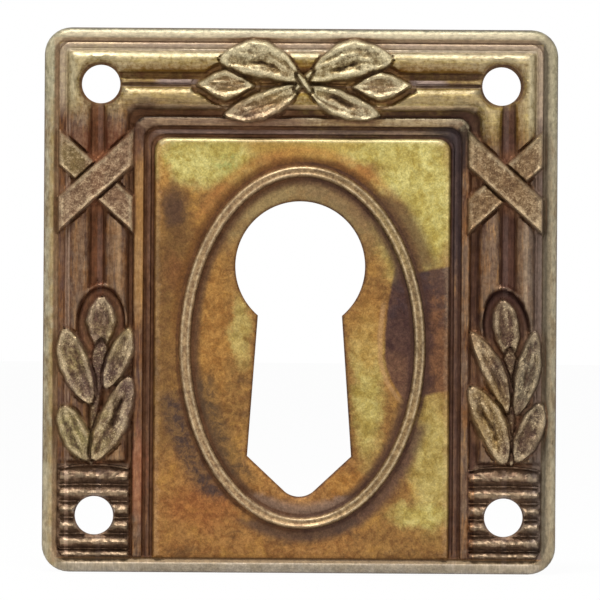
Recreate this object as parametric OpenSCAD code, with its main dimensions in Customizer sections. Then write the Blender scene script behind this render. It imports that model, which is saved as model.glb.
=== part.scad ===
// Keyhole escutcheon, pressed from one sheet of brass.
// It stands upright: X to the right, Z up, and its front faces -Y.
// Its back rests on the plane Y = 0, and the centre of the key's round hole is the origin.
// Inside the modules the plate lies flat, face up, with its own centre at the origin.

/* [Plate] */
// Width of the plate
plate_w = 40; // [38:0.5:46]
// Height of the plate
plate_h = 42.4; // [41:0.2:48]
// Radius of the plate's outer corners
corner_r = 2.1; // [1.8:0.1:2.6]
// Thickness of the sheet
sheet_t = 0.5; // [0.4:0.05:0.6]

/* [Keyhole] */
// Diameter of the round part of the keyhole
key_d = 10.1; // [8:0.1:11]
// Height of the round's centre above the plate's centre
key_rise = 2.7; // [2:0.1:4]
// Width of the slot where it leaves the round
slot_neck_w = 6.5; // [5:0.1:7]
// Width of the slot at its foot
slot_foot_w = 8.1; // [7:0.1:9]
// Drop from the round's centre to the foot's corners
slot_drop = 14.8; // [13:0.1:15.5]
// Drop from the round's centre to the lowest point
slot_reach = 17.95; // [17:0.05:18.5]
// Radius of the slot's rounded point
slot_tip_r = 1.75; // [1.2:0.05:2]
// Width of the lip that is pressed down around the keyhole
lip_w = 0.35; // [0.2:0.05:0.4]
// Drop of the lip below the panel's face
lip_drop = 0.15; // [0.1:0.01:0.2]

/* [Screw holes] */
// Diameter of the screw holes
screw_d = 3; // [2.5:0.1:3.4]
// Spacing of the upper pair of screw holes
upper_screw_spacing = 31.2; // [30.6:0.1:31.8]
// Spacing of the lower pair of screw holes
lower_screw_spacing = 31.9; // [31.2:0.1:32.4]
// Height between the two pairs of screw holes
screw_rows = 33.6; // [33:0.1:34]
// Width of the pressed seat around a screw hole
seat_w = 0.3; // [0.2:0.05:0.5]

/* [Border] */
// Height of the rim above the surface that the plate is fixed to
rim_h = 1.3; // [1.2:0.05:1.5]
// Radius of the rim's outer rounding
rim_r = 0.6; // [0.55:0.05:0.7]
// Width of the rim
rim_w = 0.9; // [0.85:0.05:1]
// Width of the crease beside the rim
crease_w = 0.3; // [0.2:0.05:0.4]
// Width of the ledge between the crease and the outer reed
ledge_w = 0.5; // [0.4:0.05:0.6]
// Height of the ledge
ledge_h = 1.1; // [1:0.05:1.15]
// Width of each of the two reeds
reed_w = 1.8; // [1.6:0.05:1.9]
// Rise of each reed above the ground beside it
reed_rise = 0.75; // [0.6:0.05:0.8]
// Width of the groove between the reeds
reed_gap = 1; // [0.8:0.05:1.1]
// Height of the ground that the reeds stand on
ground_h = 0.85; // [0.8:0.05:0.95]
// Width of the fine raised line in the groove and in the channel
fine_w = 0.2; // [0.16:0.02:0.24]
// Rise of the fine line
fine_rise = 0.1; // [0.06:0.01:0.12]
// Width of the sunk line inside the inner reed
sunk_w = 0.6; // [0.5:0.05:0.7]
// Width of the flat strip inside the sunk line
strip_w = 0.8; // [0.7:0.05:0.9]
// Height of the flat strip
strip_h = 1.2; // [1.15:0.05:1.3]
// Width of the channel around the panel
channel_w = 0.85; // [0.8:0.05:1]
// Height of the channel's floor
channel_h = 0.75; // [0.7:0.05:0.8]

/* [Panel and oval bead] */
// Height of the panel's face
panel_h = 1.25; // [1.15:0.05:1.35]
// Width of the oval, along the crest of its bead
oval_w = 18.3; // [17.5:0.1:18.9]
// Height of the oval, along the crest of its bead
oval_h = 27.4; // [26.5:0.1:28]
// Drop of the oval's centre below the plate's centre
oval_drop = 3.6; // [3.4:0.1:3.8]
// Distance of the oval's centre to the right of the plate's
oval_shift = 0.2; // [0:0.05:0.25]
// Width of the bead
bead_w = 1; // [0.8:0.05:1.1]
// Rise of the bead above the panel
bead_rise = 0.45; // [0.3:0.05:0.5]

/* [Ridged blocks] */
// Spacing of the ridges
ridge_pitch = 1.26; // [1.2:0.02:1.3]
// Number of broad ridges in a block
ridge_count = 6; // [5:1:6]
// Rise of a broad ridge above the ground
ridge_rise = 0.6; // [0.4:0.05:0.7]

/* [Ribbon crosses] */
// Height of the crosses' centres above the plate's centre
cross_rise = 9.25; // [8.5:0.05:9.5]
// Width of a ribbon
ribbon_w = 2; // [1.8:0.05:2.1]
// Slope of the ribbons
ribbon_angle = 42; // [38:1:46]
// Height of the upper ribbon's face
ribbon_h = 1.85; // [1.8:0.05:2]
// Step between the upper and the lower ribbon
ribbon_step = 0.2; // [0.15:0.05:0.3]
// Rise of a ribbon's raised border above its face
border_rise = 0.18; // [0.1:0.02:0.24]

/* [Leaves] */
// Height of a leaf's edge above the surface that the plate is fixed to
leaf_edge_h = 1.25; // [1.2:0.05:1.3]
// Rise of a leaf's crest above its edge
leaf_rise = 0.85; // [0.7:0.05:0.95]
// Width of the garland over the panel
garland_w = 16.5; // [16:0.1:16.8]
// Height of the garland's knot above the plate's centre
knot_rise = 17; // [16.8:0.1:17.1]
// Height of a spray of leaves
spray_h = 13; // [12.8:0.1:13.2]
// Drop of the sprays' feet below the plate's centre
spray_drop = 12.6; // [12.4:0.1:12.7]
// Width of the sunk halo around a bud and around the garland's end leaves
halo_w = 0.65; // [0.5:0.05:0.7]
// Height of the halo's floor
halo_h = 0.75; // [0.7:0.05:0.8]

/* [Hidden] */
$fn = 48;
// Overrun of every cut
over = 0.5;
// Distances from the plate's edge to the lines of its border
crease_at = rim_w + crease_w / 2;
ledge_at = rim_w + crease_w;
outer_reed_at = ledge_at + ledge_w;
inner_reed_at = outer_reed_at + reed_w + reed_gap;
sunk_at = inner_reed_at + reed_w;
strip_at = sunk_at + sunk_w;
channel_at = strip_at + strip_w;
panel_at = channel_at + channel_w;
// Slope width of the small steps of the border
slope_w = crease_w / 3;
// Sheet left beside a hollow, measured along the face
wall_t = sheet_t * 0.7;
border_w = panel_at + slope_w + wall_t;
half_w = plate_w / 2;
half_h = plate_h / 2;
// The blocks of ridges fill the feet of both columns, from the rim to the strip
foot_y = ledge_at - half_h;
block_top = foot_y + ridge_pitch * (ridge_count - 0.3);
column_at = (ledge_at + strip_at) / 2;
column_w = strip_at - ledge_at;
// Steps of the rounded turns
corner_steps = 6;
bead_steps = 60;
leaf_steps = 9;

// Points along an arc
function arc(centre, r, from, to, steps) =
    [for (k = [0:steps]) centre + r * [cos(from + (to - from) * k / steps), sin(from + (to - from) * k / steps)]];

// Points of a round hump on the chord from a to b at height h
function hump(a, b, h, rise, steps = 8) =
    let (half = (b - a) / 2, r = (half * half + rise * rise) / (2 * rise), turn = asin(min(1, half / r)),
         open = rise > r ? 180 - turn : turn)
    arc([a + half, h + rise - r], r, 90 + open, 90 - open, steps);

// Points of a fine raised line at height h
function fine_line(at, h) = [[at - fine_w / 2, h], [at, h + fine_rise], [at + fine_w / 2, h]];

// Sections of the border's face: distance from the plate's edge, and height
rim_line = concat(
    arc([rim_r, rim_h - rim_r], rim_r, 180, 90, 6),
    [[rim_w - slope_w, rim_h - slope_w / 2], [crease_at, ledge_h - slope_w * 1.5], [ledge_at, ledge_h]]);
reed_line = concat(
    [[ledge_at, ledge_h], [outer_reed_at - slope_w, ledge_h]],
    hump(outer_reed_at, outer_reed_at + reed_w, ground_h, reed_rise),
    fine_line(outer_reed_at + reed_w + reed_gap * 0.65, ground_h),
    hump(inner_reed_at, sunk_at, ground_h, reed_rise),
    [[sunk_at + slope_w, channel_h], [strip_at, channel_h]]);
strip_line = concat(
    [[strip_at, channel_h], [strip_at + slope_w, strip_h], [channel_at - slope_w, strip_h], [channel_at, channel_h]],
    fine_line(channel_at + channel_w / 2, channel_h),
    [[panel_at, channel_h], [panel_at + slope_w, panel_h], [border_w, panel_h]]);
// The same sections seen from behind, where each hollow follows its moulding
rim_back = concat(
    [[sheet_t, -over]],
    arc([rim_r, rim_h - rim_r], rim_r - sheet_t, 180, 90, 2),
    [[ledge_at, ledge_h - sheet_t - slope_w]]);
reed_back = concat(
    [[ledge_at, ledge_h - sheet_t - slope_w], [outer_reed_at, ground_h - sheet_t]],
    hump(outer_reed_at + wall_t, outer_reed_at + reed_w - wall_t, ground_h - sheet_t, reed_rise, 6),
    hump(inner_reed_at + wall_t, sunk_at - wall_t, ground_h - sheet_t, reed_rise, 6),
    [[sunk_at, channel_h - sheet_t], [strip_at, channel_h - sheet_t]]);
strip_back = [[strip_at, channel_h - sheet_t], [strip_at + slope_w, channel_h - sheet_t],
    [strip_at + wall_t, strip_h - sheet_t], [channel_at - wall_t, strip_h - sheet_t],
    [channel_at - slope_w, channel_h - sheet_t], [panel_at + slope_w, channel_h - sheet_t],
    [panel_at + wall_t, panel_h - sheet_t], [border_w, panel_h - sheet_t]];

// A solid through a row of rings that all have as many points, closed into a loop or with flat ends
module skin(rings, loop = false) {
    n = len(rings[0]);
    last = len(rings) - (loop ? 1 : 2);
    sides = [for (k = [0:last], j = [0:n - 1], half_quad = [0, 1])
        let (next = (k + 1) % len(rings), a = k * n + j, b = k * n + (j + 1) % n,
             c = next * n + j, d = next * n + (j + 1) % n)
        half_quad == 0 ? [a, b, c] : [b, d, c]];
    top = (len(rings) - 1) * n;
    ends = loop ? [] : [for (j = [1:n - 2], end = [0, 1])
        end == 0 ? [0, j + 1, j] : [top, top + j, top + j + 1]];
    polyhedron(points = [for (ring = rings, p = ring) p], faces = concat(sides, ends));
}

// The point at distance d from the plate's edge, seen at an angle round the upper right corner
function corner_point(d, angle) = d < corner_r
    ? [half_w - corner_r + (corner_r - d) * cos(angle), half_h - corner_r + (corner_r - d) * sin(angle)]
    : [half_w - d, half_h - d];

// A border section as a closed ring of points, down to the back plane or past it
function section_ring(line, inset) =
    let (low = inset == 0 ? 0 : -over)
    concat([[line[0].x, low]], line, [[line[len(line) - 1].x, low]]);

// The rim: its section swept round the whole plate
module rim(inset) {
    section = section_ring(inset == 0 ? rim_line : rim_back, inset);
    skin([for (quarter = [0:3], k = [0:corner_steps]) [for (p = section)
        let (at = corner_point(p.x, 90 * (quarter % 2 == 0 ? k : corner_steps - k) / corner_steps))
        [at.x * (quarter == 1 || quarter == 2 ? -1 : 1), at.y * (quarter > 1 ? -1 : 1), p.y]]], true);
}

// A moulding swept up the left column, over the panel and down the right one.
// Its ends slope down to the lowest height of the ground.
module arch(line, foot, inset) {
    section = section_ring(line, inset);
    low = channel_h - inset;
    right = concat(
        [[for (p = section) [half_w - p.x, foot - slope_w, min(p.y, low)]]],
        [[for (p = section) [half_w - p.x, foot, p.y]]],
        [for (k = [0:corner_steps]) [for (p = section)
            let (at = corner_point(p.x, 90 * k / corner_steps)) [at.x, at.y, p.y]]]);
    left = [for (k = [len(right) - 1:-1:0]) [for (p = right[k]) [-p.x, p.y, p.z]]];
    skin(concat(right, left));
}

// The flat panel inside the border
module panel(inset) {
    foot = foot_y + inset;
    deep = inset == 0 ? 0 : over;
    translate([border_w - half_w, foot, -deep])
        cube([plate_w - 2 * border_w, half_h - border_w - foot, panel_h - inset + deep]);
}

// Outline of a ridged block's section: broad ridges with thin ones above them.
// The lowest ridge is cut in half by the rim's crease
ridge_shares = [[-0.34, 0], [-0.2, 0.8], [0, 1], [0.2, 0.8], [0.34, 0], [0.42, 0], [0.5, 0.4], [0.58, 0]];
function ridge_line(inset) = [for (k = [0:ridge_count - 1], p = ridge_shares)
    [foot_y + ridge_pitch * (k + p.x - 0.04), ground_h - inset + ridge_rise * p.y]];

// The ridged block at the foot of the right column
module ridged_block(inset) {
    side = inset == 0 ? 0 : wall_t;
    low = inset == 0 ? 0 : -over;
    bottom = foot_y + side;
    top = block_top - side;
    intersection() {
        translate([half_w - strip_at + side, 0, 0])
            rotate([90, 0, 90]) linear_extrude(column_w - 2 * side) polygon(concat(
                [[foot_y - ridge_pitch, low], [foot_y - ridge_pitch, ground_h - inset]], ridge_line(inset),
                [[block_top + over, ground_h - inset], [block_top + over, low]]));
        translate([half_w - strip_at, bottom, low]) cube([column_w, top - bottom, ribbon_h + over]);
    }
}

// The pressed seat around a screw hole, cut out of the mouldings
module screw_seat(inset) {
    floor_h = ground_h - inset;
    top_h = ribbon_h + over;
    translate([0, 0, floor_h])
        cylinder(h = top_h - floor_h, r1 = screw_d / 2 + seat_w / 2 + inset / 4,
                 r2 = screw_d / 2 + seat_w + inset / 4 + (top_h - floor_h) * 0.6);
}

// Places of the screw holes
screw_places = [for (side = [-1, 1], row = [-1, 1])
    [side * (row > 0 ? upper_screw_spacing : lower_screw_spacing) / 2, row * screw_rows / 2]];

// Half width of a leaf, as a share of its widest, from its base to its tip
function leaf_share(s) = 0.08 + 0.92 * pow(sin(180 * pow(s, 0.9)), 0.65);

// One leaf: it runs along +X from its base, bows sideways,
// and its face is domed across, with a vein pressed into it
module leaf(length, width, bow, vein_share, inset, rise) {
    steps = inset == 0 ? leaf_steps : leaf_steps - 3;
    across_shares = inset == 0 ? [-1, -0.82, -0.42, 0, 0.42, 0.82, 1] : [-1, -0.5, 0, 0.5, 1];
    dome_shares = inset == 0 ? [0, 0.7, 1, 1 - vein_share, 1, 0.7, 0] : [0.1, 1, 1 - vein_share, 1, 0.1];
    low = inset == 0 ? ground_h / 2 : -over;
    n = len(across_shares);
    half = width / 2 - inset * 0.6;
    start = inset;
    skin([for (k = [0:steps])
        let (s = k / steps, x = start + s * (length - 2 * start),
             mid = 4 * bow * s * (1 - s), w = half * leaf_share(s),
             body = 0.45 + 0.55 * sin(180 * pow(s, 0.8)))
        concat([[x, mid - w, low]],
            [for (j = [0:n - 1]) [x, mid + w * across_shares[j],
                leaf_edge_h - inset + rise * body * dome_shares[j]]],
            [[x, mid + w, low]])]);
}

// Leaves as rows of shares: the base's and the tip's place, the width, the sideways bow, and the vein's depth.
// The garland's upper, lower and end leaf, from the knot, are shares of the garland's half width
garland_shares = [
    [0.042, 0.03, 0.806, 0.224, 0.354, 0.087, 0.5],
    [0.042, -0.048, 0.721, -0.309, 0.26, -0.041, 0.4],
    [0.473, -0.04, 0.994, -0.024, 0.267, 0, 0.4]];
// One of the knot's two stems
knot_shares = [-0.073, -0.091, 0.079, 0.103, 0.055, 0, 0];
// The spray's bud, its upper pair and its lower pair of leaves, from its foot, are shares of its height
spray_shares = [
    [-0.019, 0.685, -0.029, 0.996, 0.154, 0, 0.3],
    [0.046, 0.331, 0.179, 0.804, 0.15, -0.011, 0.4],
    [-0.015, 0.369, -0.196, 0.8, 0.131, -0.01, 0.35],
    [0.054, 0.023, 0.196, 0.35, 0.15, 0, 0.35],
    [-0.002, 0.012, -0.204, 0.469, 0.181, -0.004, 0.6]];
// The stem between them
stem_shares = [0.029, 0.008, -0.012, 0.7, 0.052, 0, 0];

// A leaf from a row of shares of that size
module leaf_by(shares, size, inset, rise = leaf_rise) {
    line = [shares[2] - shares[0], shares[3] - shares[1]] * size;
    translate([shares[0], shares[1], 0] * size) rotate([0, 0, atan2(line.y, line.x)])
        leaf(norm(line), shares[4] * size, shares[5] * size, shares[6], inset, rise);
}

// The oval halo around a leaf, sunk into the mouldings
module halo(shares, size, inset) {
    line = [shares[2] - shares[0], shares[3] - shares[1]] * size;
    margin = halo_w + inset * 0.7;
    translate([(shares[0] + shares[2]) * size / 2, (shares[1] + shares[3]) * size / 2, halo_h - inset])
        rotate([0, 0, atan2(line.y, line.x)]) linear_extrude(ribbon_h + over)
            polygon([for (turn = [0:18:342])
                [(norm(line) / 2 + margin) * cos(turn), (shares[4] * size / 2 + margin) * sin(turn)]]);
}

// Places of the right half of the garland and of the right spray
module at_knot() {
    translate([0, knot_rise, 0]) children();
}
module at_spray() {
    translate([half_w - column_at, -spray_drop, 0]) children();
}

// Right half of the laurel over the panel, round the knot
module half_garland(inset) {
    at_knot() {
        for (shares = garland_shares) leaf_by(shares, garland_w / 2, inset);
        if (inset == 0) leaf_by(knot_shares, garland_w / 2, inset);
    }
}

// The spray of laurel on the right column: a bud over two pairs of leaves on a stem
module spray(inset) {
    at_spray() {
        for (shares = spray_shares) leaf_by(shares, spray_h, inset);
        if (inset == 0) leaf_by(stem_shares, spray_h, inset, leaf_rise * 0.6);
    }
}

// The sunk halos of the right half
module half_halos(inset) {
    at_knot() halo(garland_shares[2], garland_w / 2, inset);
    at_spray() halo(spray_shares[0], spray_h, inset);
}

// One ribbon of a cross, with a raised border along both edges
module ribbon(angle, face_h, inset) {
    half = ribbon_w / 2 - inset / 2;
    low = inset == 0 ? ground_h / 2 : -over;
    top = face_h - inset;
    edge = border_rise;
    rotate([0, 0, angle]) rotate([90, 0, 90])
        linear_extrude(2 * column_w, center = true) polygon(inset == 0
            ? [[-half, low], [-half, top - edge], [edge - half, top + edge], [2.5 * edge - half, top],
               [half - 2.5 * edge, top], [half - edge, top + edge], [half, top - edge], [half, low]]
            : [[-half, low], [-half, top - edge], [edge - half, top],
               [half - edge, top], [half, top - edge], [half, low]]);
}

// The crossed ribbons on the right column, cut off at both sides of the reeds
module ribbon_cross(inset) {
    reach = column_w - inset;
    translate([half_w - column_at, cross_rise, 0]) intersection() {
        union() {
            ribbon(ribbon_angle, ribbon_h - ribbon_step, inset);
            ribbon(-ribbon_angle, ribbon_h, inset);
        }
        translate([-reach / 2, -column_w, -2 * over]) cube([reach, 2 * column_w, ribbon_h + 4 * over]);
    }
}

// The oval bead: a hump swept along an ellipse, with its base sunk in the panel
module bead(inset) {
    half = inset == 0 ? bead_w / 2 : bead_w / 5;
    rise = inset == 0 ? bead_rise : bead_rise * 0.6;
    low = inset == 0 ? panel_h - sheet_t / 2 : -over;
    section = concat([[-half, low]], hump(-half, half, panel_h - inset, rise, inset == 0 ? 6 : 2), [[half, low]]);
    translate([oval_shift, -oval_drop, 0]) skin([for (k = [0:bead_steps - 1])
        let (a = -360 * k / bead_steps, out = [cos(a) / oval_w, sin(a) / oval_h], away = out / norm(out))
        [for (p = section) [cos(a) * oval_w / 2 + p.x * away.x, sin(a) * oval_h / 2 + p.x * away.y, p.y]]], true);
}

// Outline of the keyhole's slot, widened all round, at height h
function slot_ring(grow, h) =
    let (slant = atan2(slot_reach - slot_drop, slot_foot_w / 2), foot = slot_foot_w / 2 + grow,
         neck = slot_neck_w / 2 + grow)
    [for (p = concat([[-neck, -key_d * 0.35], [-foot, -slot_drop]],
        arc([0, slot_tip_r - slot_reach], slot_tip_r + grow, 270 - slant, 270 + slant, 8),
        [[foot, -slot_drop], [neck, -key_d * 0.35]])) [p.x, p.y, h]];

// The keyhole: a round with a flaring slot that ends in a rounded point, and a lip that is pressed down
module keyhole() {
    translate([0, key_rise, 0]) {
        translate([0, 0, -over]) cylinder(h = panel_h + 2 * over, d = key_d);
        skin([slot_ring(0, panel_h + over), slot_ring(0, -over)]);
        translate([0, 0, panel_h - lip_drop])
            cylinder(h = 2 * lip_drop, r1 = key_d / 2, r2 = key_d / 2 + 2 * lip_w);
        skin([slot_ring(2 * lip_w, panel_h + lip_drop), slot_ring(0, panel_h - lip_drop)]);
    }
}

// What the right half repeats on the left
module half_ornament(inset) {
    ribbon_cross(inset);
    spray(inset);
    half_garland(inset);
}

// The whole relief as a solid on the back plane, or the hollow behind it
module form(inset) {
    difference() {
        union() {
            rim(inset);
            arch(inset == 0 ? reed_line : reed_back, block_top + inset, inset);
            arch(inset == 0 ? strip_line : strip_back, foot_y + slope_w + inset, inset);
            panel(inset);
            for (side = [0, 1]) mirror([side, 0, 0]) ridged_block(inset);
        }
        for (place = screw_places) translate(place) screw_seat(inset);
        for (side = [0, 1]) mirror([side, 0, 0]) half_halos(inset);
    }
    for (side = [0, 1]) mirror([side, 0, 0]) half_ornament(inset);
    bead(inset);
}

module escutcheon_plate() {
    color([0.55, 0.43, 0.22])
        rotate([90, 0, 0]) translate([0, -key_rise, 0]) difference() {
            form(0);
            form(sheet_t);
            keyhole();
            for (place = screw_places)
                translate([place.x, place.y, -over]) cylinder(h = ribbon_h + 2 * over, d = screw_d);
        }
}

escutcheon_plate();
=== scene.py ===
"""Keyhole escutcheon: the fine mesh of the pressed plate, its worn brass, and the photograph's view."""
import math
import bpy
import numpy as np
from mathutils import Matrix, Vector, kdtree, noise
from mathutils.geometry import delaunay_2d_cdt


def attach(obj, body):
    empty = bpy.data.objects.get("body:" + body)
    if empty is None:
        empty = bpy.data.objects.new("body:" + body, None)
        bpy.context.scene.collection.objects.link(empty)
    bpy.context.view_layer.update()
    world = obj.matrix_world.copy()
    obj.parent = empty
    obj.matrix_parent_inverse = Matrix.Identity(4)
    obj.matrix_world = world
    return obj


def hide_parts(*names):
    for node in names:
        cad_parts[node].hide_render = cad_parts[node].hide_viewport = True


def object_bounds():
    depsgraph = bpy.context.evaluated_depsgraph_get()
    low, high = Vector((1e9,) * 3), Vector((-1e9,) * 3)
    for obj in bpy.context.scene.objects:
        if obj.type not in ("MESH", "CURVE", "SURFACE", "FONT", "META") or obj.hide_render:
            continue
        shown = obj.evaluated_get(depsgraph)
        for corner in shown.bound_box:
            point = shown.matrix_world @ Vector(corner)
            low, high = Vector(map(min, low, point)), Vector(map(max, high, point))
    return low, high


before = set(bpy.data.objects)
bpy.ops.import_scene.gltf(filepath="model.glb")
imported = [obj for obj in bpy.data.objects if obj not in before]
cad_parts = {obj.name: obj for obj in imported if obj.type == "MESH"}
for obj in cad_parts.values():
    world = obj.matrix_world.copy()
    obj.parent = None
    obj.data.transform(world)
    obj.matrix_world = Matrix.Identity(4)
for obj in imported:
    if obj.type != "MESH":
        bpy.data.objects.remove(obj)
cad_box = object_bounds()

NODE = "escutcheon_plate"
MM = 0.001

# ---- sizes of the plate, in millimetres
HALF_W, HALF_H, CORNER_R, SHEET_T = 20.0, 21.2, 2.1, 0.5
KEY_RISE, KEY_R = 2.7, 5.05
NECK_HALF, FOOT_HALF, FOOT_DROP, TIP_DROP, TIP_R = 3.25, 4.05, 14.8, 17.95, 1.75
HOLE_R = 1.5
HOLES = [(-15.95, -16.8), (15.95, -16.8), (-15.6, 16.8), (15.6, 16.8)]
SEAT_W = 0.3
RIM_H, RIM_R = 1.3, 0.6
CREASE_AT, LEDGE_AT, LEDGE_H = 1.05, 1.2, 1.1
REED_1, REED_2, REED_W, REED_RISE, GROUND_H = 1.7, 4.5, 1.8, 0.75, 0.85
STRIP_AT, CHANNEL_AT, PANEL_AT, PANEL_H = 6.9, 7.7, 8.55, 1.25
OVAL_W, OVAL_H, OVAL_X, OVAL_Y, BEAD_RISE = 18.3, 27.4, 0.2, -3.6, 0.45
BLOCK_TOP, RIDGE_PITCH, RIDGE_COUNT, RIDGE_RISE, ROW_SHIFT = -12.82, 1.26, 6, 0.55, 0.08
FOOT_Y, FOOT_STEP, BLOCK_STEP = LEDGE_AT - HALF_H, 0.14, 0.12
COLUMN_X = HALF_W - (LEDGE_AT + STRIP_AT) / 2
LEAF_EDGE, LEAF_RISE, DEEPEST = 1.36, 0.7, 2.09
# How far the oval frame of a bud lies outside its outline
COLLAR = 0.62
# The left column's lines lie a little further in than the right one's
LINES = [0, 1.2, 1.7, 3.5, 4.5, 6.3, 6.9, 7.7, 8.55, 40]
LINES_LEFT = [0, 1.2, 1.72, 3.7, 4.68, 6.62, 7.0, 7.86, 8.62, 40.15]
LINES_RIGHT = [0, 1.15, 1.65, 3.34, 4.3, 6.15, 6.8, 7.52, 8.33, 39.9]


def smooth(t):
    t = np.clip(t, 0, 1)
    return t * t * (3 - 2 * t)


def edge_distance(x, y):
    """Distance in from the plate's edge, round its rounded corners."""
    qx, qy = np.abs(x) - (HALF_W - CORNER_R), np.abs(y) - (HALF_H - CORNER_R)
    return CORNER_R - np.hypot(np.maximum(qx, 0), np.maximum(qy, 0)) - np.minimum(np.maximum(qx, qy), 0)


def arch_distance(x, y):
    """Distance in from the plate's top and sides, which the reeds and the strip follow."""
    side = np.where(x < 0, np.interp(HALF_W + x, LINES_LEFT, LINES), np.interp(HALF_W - x, LINES_RIGHT, LINES))
    least, apart = np.minimum(side, HALF_H - y), np.abs(side - HALF_H + y)
    r = corner_round(least)
    return np.where(apart < r, least - r + (apart + np.sqrt(np.maximum(2 * r * r - apart * apart, 0))) / 2, least)


def corner_round(a):
    """Radius at which a line at distance a turns the upper corners: the inner lines are rounder."""
    return 0.3 + 0.7 * smooth(a - 5.3)


def ring_distance(x, y, points):
    """Distance from a closed outline."""
    best = np.full(np.shape(x), 1e9)
    for (ax, ay), (bx, by) in zip(points, points[1:] + points[:1]):
        dx, dy = bx - ax, by - ay
        t = np.clip(((x - ax) * dx + (y - ay) * dy) / (dx * dx + dy * dy), 0, 1)
        best = np.minimum(best, np.hypot(x - ax - t * dx, y - ay - t * dy))
    return best


def inside(x, y, points):
    """Which places lie inside a closed outline."""
    odd = np.zeros(np.shape(x), bool)
    for (ax, ay), (bx, by) in zip(points, points[1:] + points[:1]):
        if ay != by:
            odd ^= ((ay > y) != (by > y)) & (x < ax + (bx - ax) * (y - ay) / (by - ay))
    return odd


def arc(cx, cy, r, start, end, steps):
    turns = [math.radians(start + (end - start) * k / steps) for k in range(steps + 1)]
    return [(cx + r * math.cos(a), cy + r * math.sin(a)) for a in turns]


def circle(cx, cy, r, n):
    return [(cx + r * math.cos(2 * math.pi * k / n), cy + r * math.sin(2 * math.pi * k / n)) for k in range(n)]


def dense(points, step, closed=True):
    """The same outline with points no further apart than step."""
    out = []
    ends = points[1:] + points[:1] if closed else points[1:]
    for (ax, ay), (bx, by) in zip(points, ends):
        n = max(1, math.ceil(math.hypot(bx - ax, by - ay) / step))
        out += [(ax + (bx - ax) * k / n, ay + (by - ay) * k / n) for k in range(n)]
    return out if closed else out + [points[-1]]


def moved_out(ring, out):
    """A counter-clockwise outline, moved out by that much."""
    moved = []
    for k, (px, py) in enumerate(ring):
        (ax, ay), (bx, by) = ring[k - 1], ring[(k + 1) % len(ring)]
        size = math.hypot(bx - ax, by - ay) or 1
        moved.append((px + (by - ay) / size * out, py - (bx - ax) / size * out))
    return moved


def keyhole_outline():
    """Counter-clockwise: round the head, down the left of the slot, round its tip and up the right."""
    slope = (FOOT_HALF - NECK_HALF) / (FOOT_DROP - KEY_R * 0.7)
    # Where the slot's flaring side meets the round
    drop = KEY_R * 0.7
    for _ in range(30):
        drop = math.sqrt(KEY_R ** 2 - (NECK_HALF + slope * (drop - KEY_R * 0.7)) ** 2)
    half = NECK_HALF + slope * (drop - KEY_R * 0.7)
    a = math.degrees(math.atan2(-drop, half))
    slant = math.degrees(math.atan2(TIP_DROP - FOOT_DROP, FOOT_HALF))
    return (arc(0, KEY_RISE, KEY_R, a, 180 - a, 110) + [(-FOOT_HALF, KEY_RISE - FOOT_DROP)]
            + arc(0, KEY_RISE + TIP_R - TIP_DROP, TIP_R, 270 - slant, 270 + slant, 10)
            + [(FOOT_HALF, KEY_RISE - FOOT_DROP)])


KEYHOLE = keyhole_outline()


# ---- the mouldings
def hump(a, b, low, rise):
    """An arc of a moulding's section, from a to b."""
    half, steps = (b - a) / 2, 8
    r = (half * half + rise * rise) / (2 * rise)
    turns = [half * math.cos(math.pi * k / steps) for k in range(steps + 1)]
    return [(a + half - c, low + rise - r + math.sqrt(r * r - c ** 2)) for c in turns]


RIM_LINE = ([(RIM_R - RIM_R * math.cos(math.radians(a)), RIM_H - RIM_R + RIM_R * math.sin(math.radians(a)))
             for a in (0, 18, 36, 54, 72, 90)]
            + [(0.74, 1.27), (0.86, 1.16), (CREASE_AT - 0.03, 1.03), (CREASE_AT + 0.05, 1.0), (LEDGE_AT, LEDGE_H)])
ARCH_LINE = ([(LEDGE_AT, LEDGE_H), (1.35, 1.13), (1.54, 1.12), (1.63, 1.06), (1.72, 1.1)]
             + hump(REED_1, REED_1 + REED_W, 0.88, REED_RISE - 0.03)[1:]
             + [(3.56, 0.8), (3.7, 0.8), (3.94, 0.88), (4.08, 0.99), (4.26, 0.99), (4.35, 0.78), (4.44, 0.78)]
             + hump(REED_2, REED_2 + REED_W, 0.88, REED_RISE - 0.03)
             + [(6.42, 0.74), (6.78, 0.74), (STRIP_AT + 0.04, 1.12), (STRIP_AT + 0.16, 1.21), (7.4, 1.2),
                (7.58, 1.16), (CHANNEL_AT, 0.78), (7.85, 0.8), (7.96, 0.89), (8.2, 0.89), (8.3, 0.73),
                (8.46, 0.73), (PANEL_AT + 0.1, 1.2), (8.76, 1.29), (8.95, 1.29), (9.2, PANEL_H), (30.0, PANEL_H)])
RIM_D, RIM_Z = map(np.array, zip(*RIM_LINE))
ARCH_D, ARCH_Z = map(np.array, zip(*ARCH_LINE))
ARCH_D = np.maximum.accumulate(ARCH_D + np.arange(len(ARCH_D)) * 1e-9)
# One broad ridge with the thin one beside it, as shares of the pitch
RIDGE = [(-0.42, 0.04), (-0.34, 0.14), (-0.24, 0.46), (-0.12, 0.78), (0, 1), (0.12, 0.8), (0.24, 0.48),
         (0.34, 0.14), (0.42, 0.04), (0.47, 0.44), (0.53, 0.44), (0.58, 0.04)]
RIDGE_P, RIDGE_V = map(np.array, zip(*RIDGE))


def bend(row):
    """Share of the pitch by which a ridge rises at mid width: most for the thin one at the top."""
    return 0.06 * smooth((row - 3) / 2) + 0.2 * smooth((row - 5.05) / 0.45)


def lift(row):
    """Share of the pitch by which the lowest ridge lies nearer to the next one."""
    return 0.22 * smooth((0.75 - row) / 0.5)


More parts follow.
